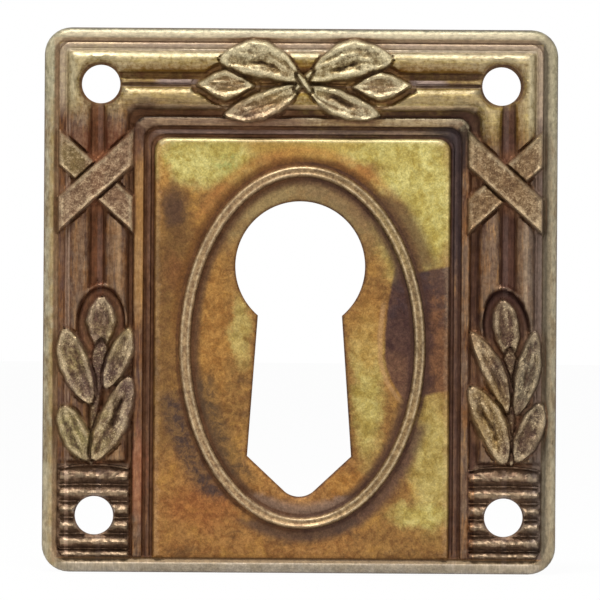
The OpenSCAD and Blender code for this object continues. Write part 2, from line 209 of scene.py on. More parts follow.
def block_height(x, y):
    """The ridged blocks, whose lowest ridge is cut in half by the rim's crease."""
    u = (np.abs(x) - COLUMN_X) / 2.85
    row = (y - FOOT_Y) / RIDGE_PITCH + ROW_SHIFT
    row = row - lift(row) - bend(row) * (1 - u * u)
    share = np.interp((row + 0.42) % 1 - 0.42, RIDGE_P, RIDGE_V) * np.where(row > RIDGE_COUNT - 0.8, 1.4, 1)
    top = smooth((RIDGE_COUNT - 0.34 - row) / 0.1)
    side = smooth((1 - np.abs(u)) / 0.1)
    rough = 0.14 * np.sin(7 * u + 9 * row) * np.sin(13 * u - 5 * row) + 0.08 * np.sin(29 * u + 17 * row)
    return GROUND_H - 0.04 + RIDGE_RISE * (share + rough * (share > 0.2)) * top * side


def base_height(x, y):
    """Rim, reeds, strip, panel and blocks, without the ornament laid over them."""
    d, a = edge_distance(x, y), arch_distance(x, y)
    h = np.interp(a, ARCH_D, ARCH_Z)
    # The fine line in the outer groove runs only across the top
    h = np.where((np.abs(a - 4.17) < 0.17) & (y < HALF_H - 5.5), np.minimum(h, 0.82), h)
    column = (np.abs(x) > HALF_W - STRIP_AT + 0.02) & (a < STRIP_AT)
    fade = smooth((y - BLOCK_TOP - BLOCK_STEP) / 0.3)
    reeds = (GROUND_H - 0.04) * (1 - fade) + h * fade
    in_block = (y < BLOCK_TOP + 0.5) & column & (a > LEDGE_AT)
    ridges = np.where(y < BLOCK_TOP + BLOCK_STEP, block_height(x, y), 0)
    h = np.where(in_block, np.maximum(ridges, reeds * (fade > 0)), h)
    h = np.where(in_block & (h < 0.5), GROUND_H - 0.04, h)
    # The step down to the rim's crease at the foot
    foot = smooth((y - FOOT_Y) / FOOT_STEP)
    h = np.where(y < FOOT_Y + FOOT_STEP, LEDGE_H * (1 - foot) + h * foot, h)
    return np.where(d < LEDGE_AT, np.interp(d, RIM_D, RIM_Z), h)


# ---- the ornament
class Leaf:
    """A leaf from its base to its tip. bow is how far its middle lies to the left of that line.
    cup is the depth of its hollow face; slit is (place across, from, to, depth); a framed one is a bud."""

    def __init__(self, base, tip, width, bow=0.0, rise=LEAF_RISE, edge=LEAF_EDGE, cup=0.3, slit=None,
                 widest=0.5, full=0.6, floor=1.18, ditch=0.05, blunt=0.08, framed=False, high=1.0):
        self.base, self.tip = base, tip
        self.length = math.dist(base, tip)
        self.turn = math.atan2(tip[1] - base[1], tip[0] - base[0])
        self.half, self.bow, self.rise, self.edge, self.cup = width / 2, bow, rise, edge, cup
        self.slit, self.power, self.full = slit, math.log(0.5) / math.log(widest), full
        self.floor, self.ditch, self.blunt, self.framed, self.high = floor, ditch, blunt, framed, high

    def swell(self, s, full):
        """Rises from 0 at the base to 1 at the widest place, and falls to 0 at the tip."""
        return np.power(np.maximum(np.sin(np.pi * np.power(s, self.power)), 0), full)

    def share(self, s):
        """Share of its width along the leaf, with a ragged edge."""
        ragged = 1 + 0.035 * np.sin(11 * s + 5 * self.length) + 0.025 * np.sin(27 * s + 9 * self.length)
        return ragged * (self.blunt + (1 - self.blunt) * self.swell(s, self.full))

    def middle(self, s):
        """How far the middle lies to the left of the straight line."""
        return 4 * self.bow * s * (1 - s)

    def local(self, x, y):
        """Share along the leaf, free and clipped, then the distance across it and half its width there."""
        dx, dy = x - self.base[0], y - self.base[1]
        c, k = math.cos(self.turn), math.sin(self.turn)
        s = (dx * c + dy * k) / self.length
        t = np.clip(s, 0, 1)
        return s, t, dy * c - dx * k - self.middle(t), self.half * self.share(t)

    def distance(self, x, y):
        """Distance from the outline, negative inside it."""
        s, t, across, w = self.local(x, y)
        past = np.abs(across) - w
        return np.hypot((s - t) * self.length, np.maximum(past, 0)) + np.minimum(past, 0)

    def collar(self, x, y):
        """Distance from the bud to the oval that frames it, on the bud's scale."""
        s, _, across, _ = self.local(x, y)
        long, wide = self.length / 2 + COLLAR, self.half + COLLAR
        return (np.hypot((s - 0.5) * self.length / long, across / wide) - 1) * wide + COLLAR

    def sunk(self, t, v, start):
        """1 in the middle of the face, which starts to sink at that share of its width."""
        return (1 - smooth((np.abs(v) - start) / 0.34)) * smooth(t / 0.2) * smooth((1 - t) / 0.16)

    def top(self, x, y):
        """Height of the leaf's face."""
        _, t, across, w = self.local(x, y)
        v = np.clip(across / np.maximum(w, 1e-6), -1, 1)
        body = (0.45 + 0.55 * self.swell(t, 0.7)) * self.high
        flank = np.clip((np.abs(v) - 0.74) / 0.26, 0, 1)
        face = self.cup * self.sunk(t, v, 0.42)
        h = self.edge + self.rise * body * (1 - flank ** 2 - face)
        if self.cup:
            h = h + 0.13 * self.wrinkles(t * self.length, across) * (1 - flank)
        if self.slit:
            place, start, end, depth = self.slit
            wave = place + 0.1 * np.sin(9 * t + 3 * self.length)
            window = smooth((t - start) / 0.16) * smooth((end - t) / 0.16)
            ragged = depth * (0.75 + 0.5 * roughness_noise(t * self.length / 1.6, across, 0.3, self.length + 4, 2))
            for deep, wide in ((0.8, 0.13), (0.45, 0.32)):
                h = h - deep * ragged * window * np.exp(-(((v - wave) * w) / wide) ** 2)
        return h

    def hollow(self, x, y):
        """How dark its face is made: most in the sunk middle, and along a stem."""
        _, t, across, w = self.local(x, y)
        if not self.cup:
            return np.full(np.shape(x), 0.9 if self.rise < 0.3 else 0.0)
        v = np.clip(across / np.maximum(w, 1e-6), -1, 1)
        return self.sunk(t, v, 0.36) * np.clip(0.7 - 1.8 * self.wrinkles(t * self.length, across), 0, 1)

    def wrinkles(self, along, across):
        return roughness_noise(along / 3.5, across, 0.3, self.length, 3)

    def outline(self, out, step):
        """Points of the outline, moved out by that much."""
        s = np.linspace(0, 1, max(10, int(self.length / step)) + 1)
        along, mid, w = s * self.length, self.middle(s), self.half * self.share(s)
        # The ring runs clockwise
        return moved_out(list(zip(along, mid + w)) + list(zip(along, mid - w))[::-1], -out)

    def world(self, points):
        c, k = math.cos(self.turn), math.sin(self.turn)
        return [(self.base[0] + px * c - py * k, self.base[1] + px * k + py * c) for px, py in points]

    def lines(self):
        """The creases that the mesh follows, each with whether it is closed."""
        rings = [(self.outline(out, 0.13), True) for out in (-0.12, 0.0, self.ditch + 0.04)]
        if self.framed:
            mid = self.length / 2
            for out in (0.56, 0.66, 0.74, 0.86):
                grow = (self.half + out) / (self.half + COLLAR)
                rings.append(([(mid + (px - mid) * (mid + COLLAR) * grow, py * (self.half + out))
                               for px, py in circle(mid, 0, 1, 72)], True))
        else:
            rings.append((self.outline(self.ditch + 0.2, 0.2), True))
        if self.slit:
            place, start, end, _ = self.slit
            count = max(4, int(self.length * (end - start) / 0.12))
            s = np.linspace(max(start - 0.02, 0.03), min(end + 0.02, 0.97), count)
            wave = place + 0.08 * np.sin(9 * s + 3 * self.length)
            mid = self.middle(s) + wave * (self.half * self.share(s))
            rings += [(list(zip(s * self.length, mid + shift)), False) for shift in (-0.09, 0, 0.09)]
        return [(self.world(points), closed) for points, closed in rings]


class Ribbon:
    """A flat strap with raised edges, cut off upright at both sides of the reeds."""

    def __init__(self, x, y, angle, face, floor, ditch):
        self.x, self.y, self.turn, self.face = x, y, math.radians(angle), face
        self.floor, self.ditch, self.framed = floor, ditch, False
        self.half, self.reach, self.edge = 1.0, 2.85, face - 0.1

    def local(self, x, y):
        dx, dy = x - self.x, y - self.y
        return dx, -dx * math.sin(self.turn) + dy * math.cos(self.turn)

    def distance(self, x, y):
        along, across = self.local(x, y)
        qx, qy = np.abs(along) - self.reach, np.abs(across) - self.half
        return np.hypot(np.maximum(qx, 0), np.maximum(qy, 0)) + np.minimum(np.maximum(qx, qy), 0)

    def inset(self, x, y):
        along, across = self.local(x, y)
        return np.minimum(self.half - np.abs(across), self.reach - np.abs(along))

    def top(self, x, y):
        sag = 0.1 * (np.abs(x - self.x) / self.reach) ** 2
        edge = np.interp(self.inset(x, y), [0, 0.05, 0.1, 0.16, 0.27], [-0.14, 0.03, 0.1, 0.05, -0.02])
        return self.face - sag + edge

    def hollow(self, x, y):
        return 0.3 * smooth((self.inset(x, y) - 0.16) / 0.2)

    def lines(self):
        out = []
        c, k = math.cos(self.turn), math.sin(self.turn)
        for inset in (0.27, 0.16, 0.1, 0.05, 0.0, -self.ditch - 0.05, -self.ditch - 0.2):
            half, reach = self.half - inset, self.reach - inset
            # The strap's long edges cross the upright cuts at these heights
            ring = [(self.x + sx * reach, self.y + (sx * reach * k + sy * half) / c)
                    for sx, sy in ((1, 1), (-1, 1), (-1, -1), (1, -1))]
            out.append((dense(ring, 0.14 if inset > -0.2 else 0.2), True))
        return out


CROSS_Y = 9.25
ORNAMENT = []
for side in (-1, 1):
    ORNAMENT += [Ribbon(side * 15.93, CROSS_Y, 42 * side, 1.65, 1.0, 0.08),
                 Ribbon(side * 15.93, CROSS_Y, -42 * side, 1.8, 1.1, 0.08)]
ORNAMENT += [
    # The garland over the panel: the two small leaves at its ends, then the lower and the upper pair
    Leaf((-3.75, 16.72), (-8.0, 16.82), 2.3, cup=0.35, full=1.15, blunt=0.1, floor=0.84, ditch=0.5, high=0.9,
         slit=(0.1, 0.35, 0.65, 0.1)),
    Leaf((4.05, 16.65), (8.4, 16.8), 2.15, full=1.1, blunt=0.1, floor=0.84, ditch=0.5, high=0.9,
         slit=(-0.1, 0.25, 0.75, 0.16)),
    Leaf((-0.18, 16.67), (-5.95, 14.4), 2.2, 0.38, full=0.7, slit=(0.1, 0.2, 0.7, 0.2), high=0.92),
    Leaf((0.5, 16.6), (6.05, 14.48), 2.1, -0.3, cup=0.35, full=0.7, slit=(0.25, 0.2, 0.72, 0.4), high=0.92),
    Leaf((-0.1, 17.25), (-6.35, 18.8), 2.95, -0.72, cup=0.12, widest=0.53, slit=(0.25, 0.22, 0.7, 0.42)),
    Leaf((0.6, 17.25), (7.05, 18.85), 2.95, 0.72, cup=0.12, widest=0.53, slit=(-0.25, 0.2, 0.68, 0.38)),
    # Left spray: bud, stem, upper and lower pair
    Leaf((-15.5, -3.9), (-15.42, 0.25), 2.3, cup=0.35, full=0.62, widest=0.54, framed=True,
         slit=(0.05, 0.2, 0.8, 0.06)),
    Leaf((-16.17, -12.6), (-15.4, -3.3), 1.25, 0.12, rise=0.2, cup=0.0, blunt=0.35, widest=0.86),
    Leaf((-15.1, -6.9), (-13.2, -2.2), 1.85, -0.1, cup=0.35, full=0.62, slit=(0.2, 0.3, 0.8, 0.06)),
    Leaf((-16.2, -8.1), (-18.3, -2.25), 2.45, 0.2, cup=0.35, slit=(-0.05, 0.2, 0.72, 0.1), widest=0.52),
    Leaf((-16.3, -12.45), (-18.45, -8.3), 2.2, 0.12, full=0.5, slit=(-0.25, 0.2, 0.7, 0.1)),
    Leaf((-16.0, -12.5), (-13.2, -6.0), 2.4, -0.2, full=0.55, slit=(-0.05, 0.3, 0.85, 0.4)),
    # Right spray
    Leaf((16.4, -4.5), (15.74, 0.15), 2.15, cup=0.35, full=0.62, widest=0.56, framed=True,
         slit=(0.0, 0.15, 0.55, 0.2)),
    Leaf((16.5, -12.5), (16.35, -3.8), 1.15, rise=0.2, cup=0.0, blunt=0.4, widest=0.84),
    Leaf((16.87, -8.8), (18.3, -2.3), 1.9, -0.15, cup=0.4, slit=(0.15, 0.3, 0.7, 0.1)),
    Leaf((16.2, -8.6), (13.35, -2.4), 1.75, -0.35, cup=0.28, slit=(0.25, 0.2, 0.75, 0.12)),
    Leaf((16.9, -12.4), (18.8, -7.9), 2.1, -0.05, slit=(0.05, 0.2, 0.7, 0.12)),
    Leaf((16.0, -12.6), (13.3, -6.6), 2.4, -0.3, full=0.55, slit=(0.2, 0.15, 0.8, 0.34)),
    # The knot: two short stems that cross
    Leaf((-0.5, 16.35), (0.85, 17.9), 0.46, rise=0.35, edge=1.45, cup=0, full=0.4, blunt=0.4, floor=1.3),
    Leaf((0.75, 16.2), (-0.3, 17.7), 0.46, rise=0.35, edge=1.5, cup=0, full=0.4, blunt=0.4, floor=1.3),
]

# Slope of a piece's flank, and of the far side of the ditch round it, which ends within the reach
FLANK, CLIMB, REACH = 4.0, 3.4, 1.6
# Heights across the frame of a bud, by the distance from its outline
COLLAR_D = [0, 0.08, 0.4, 0.56, 0.66, 0.74, 0.86, 1.1]
COLLAR_H = [1.05, 1.0, 1.12, 1.05, 0.95, 1.35, 1.52, 2.0]


def with_ornament(x, y, h):
    """Lays each leaf and ribbon over what came before, with a ditch round it."""
    cover, hollow = np.zeros(np.shape(x)), np.zeros(np.shape(x))
    for piece in ORNAMENT:
        dist = piece.distance(x, y)
        near = dist < REACH
        d, before = dist[near], h[near]
        ditch = piece.floor + CLIMB * np.maximum(d - piece.ditch, 0)
        if piece.framed:
            c = piece.collar(x[near], y[near])
            ditch = np.interp(c, COLLAR_D, COLLAR_H)
            before = np.where(c < 0.9, np.maximum(before, 1.5 - 2 * np.maximum(c - 0.8, 0)), before)
        around = np.maximum(np.minimum(before, ditch), np.minimum(piece.edge - FLANK * d, piece.edge))
        h[near] = np.where(d <= 0, piece.top(x[near], y[near]), around)
        hollow[near] = np.where(d <= 0, piece.hollow(x[near], y[near]), hollow[near])
        cover = np.maximum(cover * (dist > 0), smooth(-dist / 0.05 + 0.5))
    return h, cover, hollow


# The bead's section from inside the oval outwards: two crests with a shallow valley between them
BEAD_D = [-0.5, -0.43, -0.34, -0.25, -0.16, -0.07, 0.02, 0.12, 0.22, 0.31, 0.4, 0.5]
BEAD_SHARE = [0, 0.36, 0.74, 0.88, 0.82, 0.68, 0.7, 0.86, 1, 0.92, 0.5, 0]


def bead_height(x, y):
    """Distance from the bead's crest line, positive outside the oval, and its rise there."""
    ex, ey = (x - OVAL_X) / (OVAL_W / 2), (y - OVAL_Y) / (OVAL_H / 2)
    r = np.hypot(ex, ey)
    grad = np.hypot(ex / (OVAL_W / 2), ey / (OVAL_H / 2)) / np.maximum(r, 1e-6)
    d = (r - 1) / np.maximum(grad, 1e-6)
    rise = BEAD_RISE * np.interp(d, BEAD_D, BEAD_SHARE)
    groove = 0.06 * np.exp(-((np.abs(d) - 0.6) / 0.11) ** 2)
    return d, rise - groove


def roughness_noise(x, y, size, seed, octaves=3):
    """Fractal noise at each point, with features of about that size in millimetres."""
    return np.array([noise.fractal(Vector((px / size + seed, py / size - seed, seed)), 1.0, 2.0, octaves)
                     for px, py in zip(x.ravel(), y.ravel())]).reshape(np.shape(x))


def front_height(x, y):
    """Height of the front over the back plane, and the ornament's cover and hollows."""
    h = base_height(x, y)
    for cx, cy in HOLES:
        r = np.hypot(x - cx, y - cy)
        margin, climb = (SEAT_W * 0.4, 1.5) if cy > 0 else (0.06, 3.0)
        seat = GROUND_H + 0.05 + np.maximum(r - HOLE_R - margin, 0) * climb
        h = np.minimum(h, seat - 0.1 * smooth((HOLE_R + 0.14 - r) / 0.14))
    h = h + bead_height(x, y)[1]
    near = near_key(x, y)
    lip = np.zeros(np.shape(x))
    key = ring_distance(x[near], y[near], KEYHOLE)
    lip[near] = 0.2 * np.clip(1 - key / 0.42, 0, 1) ** 1.7
    return with_ornament(x, y, h - lip)


# ---- the mesh
def ring_points(d):
    """A ring round the plate at distance d from its edge, counter-clockwise, always with as many points."""
    out, steps, step = [], 8, 0.35
    for sx, sy, quarter in ((1, 1, 0), (-1, 1, 1), (-1, -1, 2), (1, -1, 3)):
        cx, cy = sx * (HALF_W - max(CORNER_R, d)), sy * (HALF_H - max(CORNER_R, d))
        out += arc(cx, cy, max(CORNER_R - d, 0), 90 * quarter, 90 * quarter + 90, steps)
    full = []
    for k, (ax, ay) in enumerate(out):
        bx, by = out[(k + 1) % len(out)]
        corner = k % (steps + 1) != steps
        n = 1 if corner else round((2 * HALF_H if k // (steps + 1) % 2 else 2 * HALF_W) / step)
        full += [(ax + (bx - ax) * j / n, ay + (by - ay) * j / n) for j in range(n)]
    return full


HOLE_RINGS = [circle(cx, cy, HOLE_R, 72) for cx, cy in HOLES]
KEY_RING = dense(KEYHOLE, 0.16)
CUTS = HOLE_RINGS + [KEY_RING]


class Plan:
    """Points and edges of one face of the plate, seen from the front."""

    def __init__(self):
        self.points, self.edges, self.rings = [], [], []

    def ring(self, points):
        """An outline that the mesh ends at."""
        start = len(self.points)
        self.points += points
        n = len(points)
        self.edges += [(start + k, start + (k + 1) % n) for k in range(n)]
        self.rings.append(range(start, start + n))

    def line(self, points, keep, closed=False):
        """A crease: its points that are kept, joined where they are neighbours."""
        first = last = None
        for k, (p, ok) in enumerate(zip(points, keep)):
            if ok:
                self.points.append(p)
                if last is not None and last[0] == k - 1:
                    self.edges.append((last[1], len(self.points) - 1))
                last = (k, len(self.points) - 1)
                first = first or last
        if closed and first and last and first[0] == 0 and last[0] == len(points) - 1 and last[1] > first[1]:
            self.edges.append((last[1], first[1]))

    def fill(self, points, gap):
        """Points of a grid, apart from those that are too near to a crease."""
        tree, room = kdtree.KDTree(len(self.points)), 0.62
        for k, (px, py) in enumerate(self.points):
            tree.insert((px, py, 0), k)
        tree.balance()
        self.points += [(px, py) for (px, py), g in zip(points, gap) if tree.find((px, py, 0))[2] > room * g]

    def mesh(self):
        """Its points, its triangles outside the openings, and its rings as numbers of points."""
        points, near = [Vector(p) for p in self.points], 0.004
        verts, _, faces, origin, _, _ = delaunay_2d_cdt(points, self.edges, [], 0, near, True)
        place = {}
        for k, sources in enumerate(origin):
            for s in sources:
                place.setdefault(s, k)
        xy = np.array([(v.x, v.y) for v in verts])
        tri = np.array([f for f in faces if len(f) == 3])
        centre = xy[tri].mean(axis=1)
        hole = np.zeros(len(tri), bool)
        for cut in CUTS:
            hole |= inside(centre[:, 0], centre[:, 1], cut)
        tri = tri[~hole]
        a, b, c = (xy[tri[:, k]] for k in range(3))
        area = (b[:, 0] - a[:, 0]) * (c[:, 1] - a[:, 1]) - (b[:, 1] - a[:, 1]) * (c[:, 0] - a[:, 0])
        tri[area < 0] = tri[area < 0][:, ::-1]
        return xy, tri, [[place[k] for k in ring] for ring in self.rings]


def edged_plan(inset):
    """A plan that ends at the plate's edge, moved in by that much, and at its openings."""
    plan = Plan()
    for ring in [ring_points(inset)] + CUTS:
        plan.ring(ring)
    return plan


def near_key(x, y):
    """Which places can be part of the keyhole or of its lip."""
    return (np.abs(x) < 6.2) & (y < 9) & (y > -17)


def clear(points, margin):
    """Which points lie on the plate, away from its holes."""
    x, y = (np.array([p[k] for p in points]) for k in (0, 1))
    ok = edge_distance(x, y) > margin
    for cx, cy in HOLES:
        ok &= np.hypot(x - cx, y - cy) > HOLE_R + margin
    near = near_key(x, y)
    bad = np.zeros(len(x), bool)
    bad[near] = inside(x[near], y[near], KEYHOLE) | (ring_distance(x[near], y[near], KEYHOLE) < margin)
    return ok & ~bad


def moulding_lines(plan):
    """Creases of the mouldings, outside the ornament, the blocks and the holes."""
    for d in RIM_D[1:]:
        ring = ring_points(d)
        plan.line(ring, [True] * len(ring), True)
    for a in sorted({round(float(v), 3) for v in ARCH_D[1:-1]}):
        left, right = (HALF_W - np.interp(a, LINES, lines) for lines in (LINES_LEFT, LINES_RIGHT))
        low = FOOT_Y + FOOT_STEP if a > STRIP_AT - 0.2 else BLOCK_TOP + BLOCK_STEP
        top, r = HALF_H - a, float(corner_round(a))
        line = dense([(right, low)] + arc(right - r, top - r, r, 0, 90, 4) + arc(r - left, top - r, r, 90, 180, 4)
                     + [(-left, low)], 0.34, False)
        x, y = np.array(line).T
        keep = clear(line, 0.12)
        for piece in ORNAMENT:
            keep &= piece.distance(x, y) > piece.ditch + 0.1
        plan.line(line, keep)


def ridge_lines(plan):
    """Creases of the two ridged blocks."""
    lifted = np.linspace(-1, RIDGE_COUNT, 400)
    for side in (-1, 1):
        for row in range(RIDGE_COUNT):
            for share, _ in RIDGE:
                u = np.linspace(-1, 1, 25)
                place = np.interp(row + share, lifted - lift(lifted), lifted)
                y = FOOT_Y + RIDGE_PITCH * (place - ROW_SHIFT + bend(row + share) * (1 - u * u))
                line = list(zip(side * COLUMN_X + 2.83 * u, y))
                keep = clear(line, 0.14) & (y > FOOT_Y + 0.06)
                plan.line(line, keep)


def bead_and_opening_lines(plan):
    """The bead's rings, the lip of the keyhole and the seats of the holes."""
    turn = np.linspace(0, 2 * np.pi, 300, endpoint=False)
    ex, ey = np.cos(turn), np.sin(turn)
    nx, ny = ex / OVAL_W, ey / OVAL_H
    size = np.hypot(nx, ny)
    for out in [-0.78, -0.62] + BEAD_D + [0.62, 0.78]:
        line = list(zip(OVAL_X + ex * OVAL_W / 2 + out * nx / size, OVAL_Y + ey * OVAL_H / 2 + out * ny / size))
        plan.line(line, clear(line, 0.12), True)
    for out in (0.1, 0.22, 0.42):
        ring = moved_out(KEY_RING, out)
        x, y = np.array(ring).T
        plan.line(ring, (ring_distance(x, y, KEYHOLE) > out * 0.97) & ~inside(x, y, KEYHOLE), True)
    for cx, cy in HOLES:
        for r in (0.07, 0.14, 0.25, 0.45):
            ring = circle(cx, cy, HOLE_R + r, 60)
            plan.line(ring, clear(ring, 0.05), True)


def ornament_lines(plan):
    """Outlines and slits of the ornament, where no later piece lies over them."""
    for k, piece in enumerate(ORNAMENT):
        for line, closed in piece.lines():
            line = dense(line, 0.2, closed) if closed else line
            x, y = np.array(line).T
            keep = clear(line, 0.14)
            for other in ORNAMENT[k + 1:]:
                keep &= other.distance(x, y) > 0.2
            plan.line(line, keep, closed)


# Grids between the creases, by their step: fine at the ornament, coarse on the flat
GRIDS = (
    (0.125, [(-9.3, 9.3, 13.4, 20.1), (-19.0, -12.6, -13.1, 1.6), (12.6, 19.0, -13.1, 1.6),
             (-19.1, -12.8, 4.9, 13.5), (12.8, 19.1, 4.9, 13.5)]),
    (0.22, [(side * 15.8 - 3.1, side * 15.8 + 3.1, y0, y1)
            for side in (-1, 1) for y0, y1 in ((-20, -13.1), (13.5, 20))]),
    (0.42, [(-11.6, 11.6, -20, 12.8)]),
)


def front_plan():
    plan = edged_plan(0)
    for add in (moulding_lines, ridge_lines, bead_and_opening_lines, ornament_lines):
        add(plan)
    points, gap = [], []
    for step, areas in GRIDS:
        for x0, x1, y0, y1 in areas:
            for j, py in enumerate(np.arange(y0, y1, step * 0.87)):
                for px in np.arange(x0 + (j % 2) * step / 2, x1, step):
                    points.append((px, py))
                    gap.append(step)
    points, gap = np.array(points), np.array(gap)
    ok = clear(points, 0.15) & (edge_distance(points[:, 0], points[:, 1]) > LEDGE_AT + 0.05)
    points, gap = points[ok], gap[ok]
    plan.fill([tuple(p) for p in points], gap)
    return plan


def back_plan():
    """An even grid inside the sheet's turned-down edge."""
    plan, step = edged_plan(SHEET_T), 0.24
    grid = [(px, py) for py in np.arange(-20.6, 20.6, step) for px in np.arange(-19.4, 19.4, step)]
    ok = clear(grid, 0.12) & (edge_distance(*np.array(grid).T) > SHEET_T + 0.12)
    grid = [p for p, kept in zip(grid, ok) if kept]
    plan.fill(grid, [step] * len(grid))
    return plan


RASTER = 0.1
GX, GY = np.meshgrid(*(np.arange(-half, half + RASTER / 2, RASTER) for half in (HALF_W, HALF_H)))


def blur(field, sigma):
    """A soft average over that many millimetres."""
    n = max(1, int(3 * sigma / RASTER))
    kernel = np.exp(-0.5 * (np.arange(-n, n + 1) * RASTER / sigma) ** 2)
    kernel /= kernel.sum()
    for axis in (0, 1):
        pad = np.pad(field, [(n, n) if k == axis else (0, 0) for k in (0, 1)], mode="edge")
        field = sum(w * (pad[k:k + field.shape[0], :] if axis == 0 else pad[:, k:k + field.shape[1]])
                    for k, w in enumerate(kernel))
    return field


def lowest(field, radius):
    """The lowest value within that many millimetres."""
    n = int(radius / RASTER)
    out = field.copy()
    pad = np.pad(field, n, mode="edge")
    for j in range(-n, n + 1):
        for i in range(-n, n + 1):
            if i * i + j * j <= n * n + 1:
                out = np.minimum(out, pad[n + j:n + j + field.shape[0], n + i:n + i + field.shape[1]])
    return out


def sample(field, x, y):
    """Bilinear sample of a field on the raster."""
    u = np.clip((x + HALF_W) / RASTER, 0, field.shape[1] - 1.001)
    v = np.clip((y + HALF_H) / RASTER, 0, field.shape[0] - 1.001)
    i, j = u.astype(int), v.astype(int)
    fu, fv = u - i, v - j
    return ((field[j, i] * (1 - fu) + field[j, i + 1] * fu) * (1 - fv)
            + (field[j + 1, i] * (1 - fu) + field[j + 1, i + 1] * fu) * fv)


def wear_noise(x, y, cover):
    """The dents of a hand-worn plate: long and shallow on the mouldings, coarse on the leaves."""
    return (0.022 * roughness_noise(x, y, 5.0, 3.1, 2) + 0.012 * roughness_noise(x, y, 1.1, 7.7, 3)
            + cover * 0.045 * roughness_noise(x, y, 0.55, 1.3, 3))


def build_plate():
    """The sheet: its front, its back at the sheet's thickness, and the walls between them."""
    raster, raster_cover, raster_hollow = front_height(GX, GY)
    under = blur(lowest(raster, 0.3), 0.18) - SHEET_T
    xy, tri, rings = front_plan().mesh()
    h, cover, _ = front_height(xy[:, 0], xy[:, 1])
    h = h + wear_noise(xy[:, 0], xy[:, 1], cover) * smooth(edge_distance(xy[:, 0], xy[:, 1]) / 0.6)
    front = np.column_stack([xy, np.minimum(h, DEEPEST)])
    xy, back_tri, back_rings = back_plan().mesh()
    h = np.minimum(sample(under, xy[:, 0], xy[:, 1]), PANEL_H + LEAF_RISE)
    back = np.column_stack([xy, np.maximum(h, 0.12)])

    shift = len(front)
    faces = tri.tolist() + (back_tri[:, ::-1] + shift).tolist()
    back_rings = [[shift + k for k in ring] for ring in back_rings]
    # The rim's edge on the back plane
    outer, inner = np.array(ring_points(0)), np.array(ring_points(SHEET_T))
    count, n = shift + len(back), len(outer)
    foot, sole = range(count, count + n), range(count + n, count + 2 * n)
    for a, b in [(foot, rings[0]), (sole, foot), (back_rings[0], sole)] + list(zip(rings[1:], back_rings[1:])):
        faces += [[a[k], a[(k + 1) % len(a)], b[(k + 1) % len(a)], b[k]] for k in range(len(a))]
    verts = np.vstack([front, back] + [np.column_stack([ring, np.zeros(n)]) for ring in (outer, inner)])

    mesh = bpy.data.meshes.new("pressed_plate")
    place = np.column_stack([verts[:, 0], -verts[:, 2], verts[:, 1] - KEY_RISE]) * MM
    mesh.from_pydata(place.tolist(), [], faces)
    mesh.validate()
    plate = bpy.data.objects.new("pressed_plate", mesh)
    bpy.context.scene.collection.objects.link(plate)

    # What the finish follows: how far a place stands out or lies low, near by and further round it
    vx, vy = verts[:, 0], verts[:, 1]
    shown = np.arange(len(verts)) < shift
    fine, behind = raster - blur(raster, 0.28), blur(under, 0.3) - under
    facts = {"fine": np.where(shown, sample(fine, vx, vy), sample(behind, vx, vy)),
             "broad": sample(raster - blur(raster, 1.1), vx, vy),
             "leafy": sample(blur(raster_cover, 0.1), vx, vy), "beside": sample(blur(raster_cover, 0.6), vx, vy),
             "hollow": sample(raster_hollow, vx, vy), "oval": bead_height(vx, vy)[0],
             "arch": arch_distance(vx, vy), "face": shown * 1.0}
    for name, values in facts.items():
        mesh.attributes.new(name, "FLOAT", "POINT").data.foreach_set("value", values.astype(np.float32))
    mesh.shade_smooth()
    mesh.set_sharp_from_angle(angle=math.radians(50))
    return plate


# ---- the material and the studio
class Nodes:
    """A node tree, filled by calls that each return a socket."""

    def __init__(self, owner):
        owner.use_nodes = True
        self.tree = owner.node_tree
        self.tree.nodes.clear()

    def put(self, kind, inputs=(), out=0, **props):
        node = self.tree.nodes.new("ShaderNode" + kind)
        for key, value in props.items():
            setattr(node, key, value)
        for key, value in dict(inputs).items():
            if isinstance(value, bpy.types.NodeSocket):
                self.tree.links.new(value, node.inputs[key])
            else:
                node.inputs[key].default_value = value
        return node.outputs[out] if len(node.outputs) else None

    def math(self, operation, a, b=0.0, c=0.0):
        return self.put("Math", {0: a, 1: b, 2: c}, operation=operation)

    def chain(self, operation, out, *others):
        for value in others:
            out = self.math(operation, out, value)
        return out

    def plus(self, *values):
        return self.chain("ADD", *values)

    def times(self, *values):
        return self.chain("MULTIPLY", *values)

    def most(self, *values):
        return self.chain("MAXIMUM", *values)

    def fit(self, value, factor, shift):
        return self.math("MULTIPLY_ADD", value, factor, shift)

    def span(self, value, low, high, to_low=0.0, to_high=1.0):
        return self.put("MapRange", {"Value": value, "From Min": low, "From Max": high, "To Min": to_low,
                                     "To Max": to_high}, interpolation_type="SMOOTHSTEP")

    def mix(self, factor, a, b):
        """A mix of two colours, which are inputs 6 and 7 of this node and output 2."""
        return self.put("Mix", {0: factor, 6: a, 7: b}, 2, data_type="RGBA")

    def noise(self, place, scale, detail=3.0, rough=0.55, warp=0.0, out="Fac"):
        return self.put("TexNoise", {"Vector": place, "Scale": scale, "Detail": detail, "Roughness": rough,
                                     "Distortion": warp}, out)

    def scaled(self, vector, *size):
        return self.put("VectorMath", {0: vector, 1: size}, operation="MULTIPLY")

    def parts(self, vector):
        node = self.tree.nodes.new("ShaderNodeSeparateXYZ")
        self.tree.links.new(vector, node.inputs[0])
        return node.outputs[:]


def linear(code):
    """Scene linear colour of a code such as 0xC8B89C."""
    shares = [(code >> shift & 255) / 255 for shift in (16, 8, 0)]
    return tuple(c / 12.92 if c <= 0.04045 else ((c + 0.055) / 1.055) ** 2.4 for c in shares) + (1.0,)


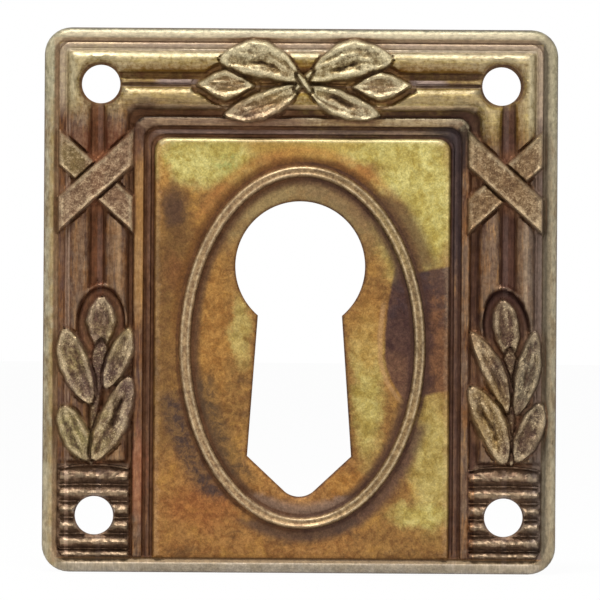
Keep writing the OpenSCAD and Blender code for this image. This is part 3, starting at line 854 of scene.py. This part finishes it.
def brass_material():
    """Aged brass: its tint goes by place, dirt and painted shade lie in the hollows, and the crests are worn pale."""
    material = bpy.data.materials.new("aged_brass")
    n = Nodes(material)
    span, times, plus, most, mix, fit = n.span, n.times, n.plus, n.most, n.mix, n.fit
    place = n.scaled(n.put("TexCoord", out="Object"), *[1 / MM] * 3)
    x0, _, z0 = n.parts(place)
    z0 = plus(z0, KEY_RISE)
    fine, broad, leafy, beside, hollow, oval, arch, front = (
        n.put("Attribute", out="Fac", attribute_name=name)
        for name in ("fine", "broad", "leafy", "beside", "hollow", "oval", "arch", "face"))

    cloud, patch = n.noise(place, 0.16, 4, 0.6, 0.4), n.noise(place, 0.55, 5, 0.66, 0.5)
    mottle, speck, grain = n.noise(place, 1.4, 5, 0.72, 0.6), n.noise(place, 2.6, 4, 0.7), n.noise(place, 7.5, 3, 0.7)
    # Places that the tints go by, with ragged edges
    wander = n.noise(place, 0.6, 6, 0.72, out="Color")
    off_x, _, off_z = n.parts(n.put("VectorMath", {0: wander, 1: [2.6] * 3, 2: [-1.3] * 3}, operation="MULTIPLY_ADD"))
    x, z = plus(x0, off_x), plus(z0, off_z)

    def drawn_out(detail, *size):
        """Noise that is drawn out along the axes with a small size."""
        return n.noise(n.scaled(place, *size), 1, detail, 0.75)

    def spot(cx, cz, rx, rz, soft=0.5, strength=1):
        """1 in an oval place, fading out round it."""
        u, v = fit(x, 1 / rx, -cx / rx), fit(z, 1 / rz, -cz / rz)
        far = n.math("SQRT", plus(times(u, u), times(v, v)))
        return span(far, 1 + soft, 1 - soft, 0, strength)

    def between(value, low, high, soft, strength=1):
        return times(span(value, low - soft, low + soft), span(value, high + soft, high - soft, 0, strength))

    def by_bead(*limits):
        """A band along the bead: limits are low, high, soft and strength."""
        return between(oval, *limits)

    def line(*limits):
        """A line of the mouldings, by its distance from the plate's sides and top."""
        return between(arch, *limits)

    def tone(colour):
        return linear(colour) if isinstance(colour, int) else colour

    def two(amount, first, second, low=0.36, high=0.64):
        """From one tone to another as the amount rises: each is a code or a socket."""
        return mix(span(amount, low, high), tone(first), tone(second))

    def layers(colour, *rows):
        """Lays tones over a colour: each row is a tone and its masks."""
        for over, *masks in rows:
            colour = mix(times(*masks), tone(colour), tone(over))
        return colour

    def spots(colour, over, *places):
        return layers(colour, *((over, spot(*where)) for where in places))

    right, left = span(x0, -1, 1), span(x0, 1, -1)
    from_side, from_top = n.math("SUBTRACT", HALF_W, n.math("ABSOLUTE", x0)), n.math("SUBTRACT", HALF_H, z0)
    up = plus(z0, HALF_H)
    edge = n.chain("MINIMUM", from_side, from_top, up)
    # 1 where the mouldings run across the top
    lying = span(n.math("SUBTRACT", from_side, from_top), -0.2, 0.2)
    off_oval = n.math("ABSOLUTE", oval)
    top = span(plus(fit(cloud, 2, from_top), times(right, -2.2)), 8.4, 5.6)
    block = times(span(z0, -12.65, -12.85), span(arch, 6.6, 6.4))

    def panel():
        """Amber brown, gold above and at the right."""
        face = layers(
            two(mottle, 0x78522C, 0x9A723E),
            (two(mottle, 0x8A5A2E, 0xAC7A44), span(z, -9, -14), span(x, 7, 3), 0.6),
            (0xB28440, span(patch, 0.5, 0.68, 0, 0.6)),
            (0x5C4028, span(patch, 0.44, 0.3, 0, 0.6)))
        gold = two(patch, two(mottle, 0x9E883E, 0xB8A65A), two(mottle, 0xBCAC60, 0xCEC27C))
        face = spots(face, gold, (-7.7, 11.2, 4, 2.2, 0.4), (8.9, 7.6, 3.2, 6, 0.3), (5.6, 12, 5, 1.3, 0.5),
                     (10.3, -12.4, 1.5, 5, 0.5, 0.62), (9.3, -16.6, 2, 0.9, 0.5, 0.8),
                     (5.3, -6.8, 1.2, 5.2, 0.5, 0.75), (-4.6, -2.4, 0.7, 2.6, 0.5, 0.5))
        face = layers(
            face,
            (0x8E9254, spot(-5.9, 10.7, 0.9, 0.7, 0.6, 0.7), span(speck, 0.44, 0.58)),
            (0xD6CC82, spot(-7.9, 11.4, 2.6, 1.4, 0.5, 0.5), span(patch, 0.45, 0.6)),
            (0xB49248, spot(0, 12.1, 4.2, 1, 0.5, 0.7)))
        face = spots(face, two(mottle, 0x98662E, 0xB68444), (-6.7, -2.6, 1.2, 6, 0.5, 0.6),
                     (3.6, -14.2, 1.5, 1, 0.5, 0.8), (-3.6, -13.8, 1.3, 1, 0.5, 0.6),
                     (5.4, -2.2, 1.1, 3.2, 0.5, 0.5), (-10.7, 8.6, 0.5, 4.2, 0.6, 0.7))
        face = spots(face, two(mottle, 0x824A28, 0xA86838), (-7.6, -16, 2.6, 1.6, 0.5, 0.6),
                     (-9.9, 2.1, 0.8, 1.4, 0.6, 0.7))
        return layers(
            face,
            (0x684A2C, spot(-10.6, -6, 0.8, 6, 0.5, 0.5)),
            (0x604428, spot(-9.9, 3.6, 1.5, 4.4, 0.5, 0.6)),
            # Along the bead, tarnish in bands, and a darker band all round just inside it
            (0x704822, by_bead(0.35, 1.2, 0.3), span(z, -6, 2), 0.8),
            (0xB0763E, by_bead(1.2, 1.9, 0.35), span(z, 5, 8), 0.5),
            (0x968056, by_bead(-3.4, -0.8, 0.5), span(z, 3, 6.5), span(patch, 0.36, 0.56, 0.4, 0.85)),
            (0x5A402E, by_bead(-1.1, -0.3, 0.3), 0.85),
            (0x765C42, by_bead(-2, -1, 0.5), span(z, 4, 7), right, 0.5),
            (0x483832, by_bead(0.2, 2.2, 0.6), left, between(z, -15.5, -7.5, 0.8), span(mottle, 0.36, 0.6, 0.95, 0.55)),
            (0x544432, by_bead(-2.2, -0.2, 0.6), left, between(z, -14, -6, 0.8), span(mottle, 0.36, 0.6, 0.8, 0.4)),
            (0x5C443A, by_bead(0.2, 1.5, 0.5), right, between(z, -17.5, -9.5, 0.8), 0.8),
            (0x4E3C34, by_bead(0.2, 1.5, 0.4), span(z, -16.6, -17.4), 0.8),
            (0x8C7260, by_bead(-1.5, -0.2, 0.4), span(z, -14.8, -15.6), 0.75),
            (0x664A32, by_bead(0.2, 2.2, 0.6), right, between(z, 2.4, 8.4, 0.8), 0.85),
            (0x523A2C, spot(-9.9, 7.2, 1, 1.4, 0.6, 0.85)))

    def stained(face):
        """The dark stain at the right, with its level upper and lower edge, and its lobe inside the oval."""
        upper, lower = (fit(off_z, 0.15, fit(x0, slant, z0)) for slant in (-0.2, -0.25))
        away = plus(z0, 3.9)
        bow = times(away, away, span(away, 0.4, -0.4, 0.019, 0.11))
        inward = n.math("SUBTRACT", fit(off_x, 0.12, x0), plus(bow, 6.55))
        level = mix(span(x0, 8.4, 9.2), span(upper, 2.4, -0.6), span(upper, 0.6, 0.3))
        level = times(level, span(lower, -9.95, -9.65))
        stain = times(span(inward, -0.06, 0.2), level)
        dark = layers(
            two(x, two(mottle, 0x3E2826, 0x543A32), two(mottle, 0x5C3C2A, 0x7C5438), 9.7, 10.7),
            (two(mottle, 0x5C3E30, 0x70503C), span(x0, 8.6, 8.2), span(z, -3.2, -5)),
            (0x3E3236, span(z, -3, -0.5), span(patch, 0.4, 0.6), 0.6))
        return layers(
            face,
            (0xB28A5C, between(inward, -0.5, -0.12, 0.12), span(upper, -1, -2), span(lower, -10.2, -9.2), 0.7),
            (dark, stain, 0.96))

    beads = two(x, two(speck, 0x84684C, 0xAA8E68), two(speck, 0x745C3E, 0x9C825A), -3, 5)
    # The bead has its own tint, and the panel's upper edge a painted highlight
    face = layers(
        stained(panel()),
        (beads, span(off_oval, 0.5, 0.38), 0.85),
        # Painted highlight along the panel's upper edge
        (0xC4B892, lying, line(8.5, 8.85, 0.08), 0.5))

    upright, across = drawn_out(5, 4.5, 1, 0.42), drawn_out(5, 0.42, 1, 4.5)
    upright = plus(times(upright, n.math("SUBTRACT", 1, lying)), times(across, lying))

    def reeds(side, *limits):
        """A line along the reeds of one column, above its block."""
        return times(side, span(z0, 12, 11), span(block, 1, 0), line(*limits))

    def mouldings():
        """Brown columns with upright streaks, and a paler olive gold across the top, with painted highlights and
        painted shade along the reeds.
        """
        ridges = two(across, two(mottle, 0x422E26, 0x624A3A), two(mottle, 0x705842, 0x8C7058), 0.38, 0.6)
        column = layers(
            two(upright, two(patch, 0x4E3224, 0x583E34), two(patch, 0x805632, 0x745A46), 0.38, 0.6),
            (0xAC7C42, span(upright, 0.55, 0.64), span(patch, 0.42, 0.6), 0.6),
            (ridges, block))
        olive = layers(
            two(across, two(mottle, 0x6A4E1C, 0x86682A), two(mottle, 0x907532, 0xAA914C), 0.38, 0.62),
            # Orange brown on the lower sides of the reeds across the top: partly their tone, partly painted shade
            (0x7C5422, plus(line(2.8, 3.4, 0.25, 0.7), line(5.5, 5.8, 0.2, 0.3))),
            # A painted highlight along the lower edge of the inner reed across the top
            (0xD4B68E, lying, line(5.98, 6.3, 0.1, 0.9)),
            (0xAC9888, line(1.15, 1.75, 0.1, 0.75)))
        # Where the painted light across the top goes
        top_painted_light = times(top, lying)
        return layers(
            mix(top, column, olive),
            (0x9E6040, spot(-12.6, -13.6, 0.7, 3.4, 0.5, 0.6), span(arch, 6.8, 7)),
            (0x683A24, spot(-15.6, 12, 2.4, 1.6, 0.5, 0.85)),
            (0x924C22, spot(-15.6, 10.9, 0.7, 0.8, 0.5, 0.8)),
            (0x543A2C, spot(-12.4, 14, 1.2, 1.6, 0.5, 0.8)),
            (0x62564C, span(x, 17.2, 18), span(z, 13, 10), 0.6),
            (0xB08248, left, line(6.95, 7.7, 0.1), span(z, -3, 1), span(z, 12, 10), 0.6),
            (0x2C2121, spot(12.6, 12.7, 1.7, 2.4, 0.4, 0.9)),
            # The groove between the reeds, and the lines along the reeds, with painted highlights on the outer reeds
            (mix(right, tone(0x864A2C), tone(0x663E32)), span(z0, 15.6, 14.6), span(block, 1, 0),
             line(3.5, 4.5, 0.15), span(patch, 0.35, 0.55, 0.5, 0.95)),
            # Painted highlight along the right outer reed
            (0x988068, reeds(right, 2.42, 2.74, 0.12), span(upright, 0.4, 0.56, 0.4, 0.9)),
            (0x5C4230, reeds(right, 2.85, 3.4, 0.12, 0.6)),
            # Painted highlight along the outer edge of the left outer reed
            (0xAC907A, left, span(z0, 15, 13), line(1.72, 2, 0.06, 0.85)),
            (0x5C402E, reeds(left, 2.6, 2.98, 0.12, 0.55)),
            (0x6C482A, reeds(left, 4.9, 5.25, 0.1, 0.55)),
            (0xA07C56, reeds(left, 5.45, 5.75, 0.1, 0.5)),
            (0x706056, right, span(z0, 15, 13), line(1.15, 1.85, 0.1, 0.7)),
            # Across the top, painted highlights along the reeds' upper edges and painted shade over their lit crests;
            # then the upper corners
            (0x9E9170, top, line(1.66, 2.4, 0.2), span(speck, 0.3, 0.5, 0.5, 0.9)),
            (0x6C5E42, top_painted_light, line(4.7, 5.05, 0.06, 0.7)),
            (0xBEAA8C, top_painted_light, line(4.45, 4.62, 0.06, 0.8)),
            (0x8A8068, top_painted_light, line(1.93, 2.14, 0.06, 0.7)),
            (0xC8B89E, top_painted_light, line(1.64, 1.84, 0.05, 0.85)),
            (0xB2A07A, spot(-16.2, 17.6, 3, 2.8, 0.5, 0.6), span(speck, 0.4, 0.55, 0.2, 0.8)),
            (0xA08E74, spot(16.2, 17.6, 3, 2.8, 0.5, 0.5), span(speck, 0.4, 0.55, 0.2, 0.6)),
            # The strip's top, and painted shade over the line above it and the strip's lit upper edge
            (two(across, 0x705442, 0x907458), lying, line(6.9, 7.75, 0.06), 0.7),
            (0x2C1E16, lying, line(6.7, 7.06, 0.05, 0.9)))

    def rim():
        """Paler than the columns. Along the top it is palest at its inner side, a painted highlight, with painted shade
        at its outer edge and at the ledge's edge; at the foot, painted shade over the inner flank and a lighter crease
        beside it.
        """
        inner = span(fit(speck, 0.4, edge), 0.86, 1.1, 0, 0.8)
        crown = times(span(from_top, 1.25, 1.15), span(from_side, 1, 2.2))
        # Painted light along the top: painted shade at the outer edge, a painted highlight further in
        crown_painted_light = two(from_top, 0x6E6A5A, two(from_top, 0xC8B89C, 0xAC9274, 0.66, 0.86), 0.3, 0.5)
        # Painted shade at the ledge's edge
        crown_painted_light = layers(crown_painted_light, (0x765E4A, span(from_top, 1, 1.08)))
        foot = times(span(up, 1.3, 1.2), span(from_side, 0.9, 1.4))
        return layers(
            two(n.noise(n.scaled(place, 1, 1, 0.4), 1.6, 4, 0.7), 0x7E6C50, 0xA69C82, 0.36, 0.6),
            (0x9C8250, span(edge, 0.3, 0.62), span(patch, 0.36, 0.56, 0.15, 0.75)),
            (two(mottle, 0x80785C, 0x9E967C), top),
            (mix(right, tone(0x8E7054), tone(0x645648)), inner),
            (0x746A58, right, span(from_side, 1.15, 1.05), span(edge, 0.3, 0.6, 0.25, 0.85)),
            (crown_painted_light, crown, 0.85),
            (two(patch, 0x8A7E6E, 0xA0968A), foot, 0.8),
            # Painted shade over the foot's inner flank, and its crease painted lighter
            (0x5A4932, foot, span(up, 0.7, 0.84), 0.95),
            (0x8C6A46, foot, span(up, 1.03, 1.1), 0.8))

    colour = mix(span(arch, 8.48, 8.62), mouldings(), face)
    colour = mix(span(edge, 1.22, 1.12), colour, rim())

    # Dirt and painted shade in the hollows: darker where a place lies lower than round it
    low = plus(fit(broad, 0.5, fine), fit(speck, 0.14, -0.07))
    dirt_and_shade = times(span(low, 0, -0.18), span(mottle, 0.3, 0.6, 1, 0.76))
    # Less of it in the creases beside the rim and on the lower side of the inner reed's top
    swept = plus(between(edge, 0.9, 1.85, 0.06, 0.7), times(lying, line(5.9, 6.35, 0.1, 0.95)))
    dirt_and_shade = times(dirt_and_shade, n.math("SUBTRACT", 1, swept), span(block, 0, 1, 1, 0.85))
    # The tone of the dirt and painted shade; beside the leaves it is painted lighter against the shade in their ditches
    soil_and_shade = layers(
        mix(right, two(patch, 0x4C2E1A, 0x6C482E, 0.3, 0.7), two(patch, 0x422A20, 0x5C4032, 0.3, 0.7)),
        (two(mottle, 0x5C4636, 0x7E6450), block, 0.8),
        (two(mottle, 0x76503A, 0x9C7452), span(beside, 0.05, 0.35, 0, 0.9)))
    band = n.math("SUBTRACT", 1, leafy)
    bands = plus(line(4, 4.4, 0.05, 0.85), line(7.9, 8.26, 0.05, 0.3))
    colour = layers(
        colour,
        (soil_and_shade, dirt_and_shade, span(beside, 0.05, 0.4, 0.96, 0.7)),
        # The sunk frames of the two buds
        (0x3E2622, spot(15.84, -1.6, 1.9, 2.6, 0.1, 0.75), span(z0, -3.6, -2.4), band),
        (0x5C3826, spot(-15.42, -1.2, 1.8, 2.4, 0.1, 0.45), span(z0, -3.6, -2.4), band),
        # The fine lines in the grooves are purple grey, and the right channel's upper end is dark
        (0x9E8A82, bands, span(beside, 0.3, 0.05), span(from_side, 8.3, 9.2, 0.15, 1)),
        (0x383236, span(x0, 9, 10.5), line(7.62, 8.4, 0.1), span(z0, 0.5, 4), 0.6))

    # Leaves and ribbons: grey brown and purple, with paler crumbs
    strap = span(z0, 4.6, 5.4)

    def ornament():
        spray = layers(
            two(cloud, two(mottle, 0x685038, 0x9C8A5C), two(mottle, 0x644C48, 0x8A725C), 0.42, 0.58),
            (two(mottle, 0x48322E, 0x6C5444), right, 0.8),
            (0xA88A50, spot(14.5, -9.6, 1.7, 3.4, 0.4, 0.7)),
            (0x706854, spot(17.9, -5.5, 1.2, 3.4, 0.4, 0.7)),
            (0x9E925E, spot(-17.6, -10.4, 1.5, 2.3, 0.4, 0.7)),
            (0xAC8A5C, spot(14, -3.6, 0.9, 1.6, 0.5, 0.6)),
            (0xB09A6C, spot(-13.8, -3.4, 0.9, 1.5, 0.5, 0.5)),
            (0x685252, spot(-15.6, -5.6, 0.8, 2.6, 0.5, 0.7)))
        garland = layers(
            two(speck, 0x706042, 0xA89A74),
            (0x8C6A48, spot(-5.9, 16.8, 2.2, 1.2, 0.3, 0.7)),
            (0x84664C, spot(6.2, 16.7, 2.2, 1.2, 0.3, 0.7)),
            (0x9C7C44, spot(-3.6, 15.2, 3, 1.1, 0.4, 0.7)),
            (0x745A44, spot(3.6, 15.2, 3, 1.1, 0.4, 0.7)),
            (0x7A5E38, spot(-2.2, 17.6, 1.6, 1.2, 0.5, 0.6)),
            (0x806C3C, spot(2, 17.4, 1.4, 1.2, 0.5, 0.5)))
        return layers(
            spray,
            (two(speck, 0x745640, 0x947458), strap),
            (two(speck, 0x6E5434, 0x90744C), strap, right, 0.7),
            (0x7A6A3A, spot(-18, 11, 1.4, 1.6, 0.5, 0.7)),
            (garland, top))

    pocket = times(hollow, span(drawn_out(4, 5.5, 1, 2.2), 0.66, 0.4, 0.35, 1), span(top, 0, 1, 0.95, 0.7))
    pockets = mix(top, two(patch, 0x422C24, 0x584430), two(patch, 0x5C482E, 0x78623E))
    shown = most(span(patch, 0.4, 0.58, 0.25, 1), top)
    crumbs = times(leafy, shown, span(grain, 0.54, 0.62), fit(hollow, -0.5, 1), span(fine, -0.08, 0.02),
                   span(strap, 0, 1, 0.7, 0.35))
    # Worn crests: palest across the top, on the bead and on the ornament
    wear = plus(fit(broad, 0.3, fine), fit(speck, 0.36, -0.18))
    leaf_wear = times(most(span(top, 0, 1, 0.5, 0.56), times(strap, 0.6)), shown)
    bead_wear = times(between(off_oval, 0.16, 0.32, 0.06), span(mottle, 0.36, 0.6, 0.15, 0.65))
    zone = most(times(top, 0.28), 0.12, times(leafy, leaf_wear), times(block, 0.24), bead_wear)
    bare = mix(top, tone(0xCEB894), tone(0xD8CAA4))
    colour = layers(
        colour,
        (ornament(), leafy, 0.85),
        (pockets, pocket),
        # Dirt and painted shade in the leaves' low places
        (0x4E3628, leafy, span(low, -0.04, -0.16), 0.5),
        (0xD4BE94, crumbs),
        (0x3C2820, leafy, span(grain, 0.46, 0.38), span(strap, 1, 0, 0.1, 0.35)),
        (bare, span(wear, 0.03, 0.2), zone))
    # The back was never cleaned
    hidden = layers(
        two(patch, 0x543E28, 0x765C3A, 0.3, 0.7),
        (0x4E4238, span(cloud, 0.45, 0.65, 0, 0.5)),
        (0x36261A, span(fine, 0.02, -0.1, 0, 0.8)),
        (0x967A4E, span(fine, 0.03, 0.16, 0, 0.5)))
    colour = mix(front, hidden, colour)
    # Fine pits all over, drawn out along the mouldings
    drawn = mix(lying, drawn_out(4, 7.5, 1, 1.6), drawn_out(4, 1.6, 1, 7.5))
    drawn = mix(most(leafy, span(arch, 8.4, 8.7)), drawn, grain)
    value = times(span(drawn, 0.32, 0.68, 0.8, 1.2), span(speck, 0.3, 0.7, 0.86, 1.12))
    colour = n.put("HueSaturation", {"Value": value, "Color": colour})

    bump = n.put("Bump", {"Strength": fit(leafy, 0.5, 0.3), "Distance": 0.00008,
                          "Height": plus(times(speck, 0.6), times(grain, 0.4))})
    rough = span(plus(times(patch, 0.6), times(dirt_and_shade, 0.5)), 0.2, 0.9, 0.42, 0.68)
    shader = n.put("BsdfPrincipled", {"Base Color": colour, "Metallic": 0.6, "Specular IOR Level": 0.25,
                                      "Roughness": rough, "Normal": bump})
    n.put("OutputMaterial", {"Surface": shader})
    return material


def white_to_view(n, strength=1.0):
    """Share of a white glow that only the view, mirrors and glass see."""
    path = n.tree.nodes.new("ShaderNodeLightPath")
    rays = [path.outputs[f"Is {kind} Ray"] for kind in ("Camera", "Glossy", "Transmission")]
    return n.times(n.most(*rays), strength)


def lamp(name, place, size, watts):
    """A round soft light that shines at the middle of the plate."""
    data = bpy.data.lights.new(name, "AREA")
    data.shape, data.size, data.energy = "DISK", size, watts
    light = bpy.data.objects.new(name, data)
    light.location = place
    light.rotation_euler = (-Vector(place)).to_track_quat("-Z", "Y").to_euler()
    bpy.context.scene.collection.objects.link(light)


def studio():
    scene = bpy.context.scene
    scene.view_settings.view_transform = "Standard"
    scene.world = bpy.data.worlds.new("studio")
    n = Nodes(scene.world)
    soft = n.put("Background", {"Color": (1, 0.99, 0.97, 1), "Strength": 0.5})
    white = n.put("Background", {"Color": (1, 1, 1, 1), "Strength": 1.0})
    n.put("OutputWorld", {"Surface": n.put("MixShader", {0: white_to_view(n), 1: soft, 2: white})})

    lamp("key_light", (-0.04, -0.16, 0.36), 0.14, 1.25)
    lamp("fill_light", (0.2, -0.34, 0.05), 0.25, 0.15)

    mesh = bpy.data.meshes.new("floor")
    low, reach = cad_box[0].z, 1.5
    corners = [(-reach, -reach, low), (reach, -reach, low), (reach, reach, low), (-reach, reach, low)]
    mesh.from_pydata(corners, [], [(0, 1, 2, 3)])
    floor = bpy.data.objects.new("floor", mesh)
    scene.collection.objects.link(floor)
    material = bpy.data.materials.new("pale_floor")
    n = Nodes(material)
    matte = n.put("BsdfDiffuse", {"Color": (0.85, 0.85, 0.85, 1)})
    glow = n.put("Emission", {"Color": (1, 1, 1, 1), "Strength": 1.0})
    n.put("OutputMaterial", {"Surface": n.put("MixShader", {0: white_to_view(n, 0.96), 1: matte, 2: glow})})
    mesh.materials.append(material)


def camera():
    """Straight in front, from far away, and rolled as little as the plate in the photograph is turned."""
    data = bpy.data.cameras.new("camera")
    wide, away, face_y, raised, roll, sensor = 0.04668, 0.45, -0.0013, 0.00007, -0.37, 36
    data.sensor_width = sensor
    data.lens = sensor * away / wide
    data.clip_start, data.clip_end = 0.01, 10
    cam = bpy.data.objects.new("camera", data)
    cam.location = (0.0, face_y - away, -KEY_RISE * MM + raised)
    cam.rotation_euler = (math.radians(90), math.radians(roll), 0)
    bpy.context.scene.collection.objects.link(cam)
    bpy.context.scene.camera = cam


camera()
studio()
plate = build_plate()
plate.data.materials.append(brass_material())
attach(plate, "root")
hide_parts(NODE)
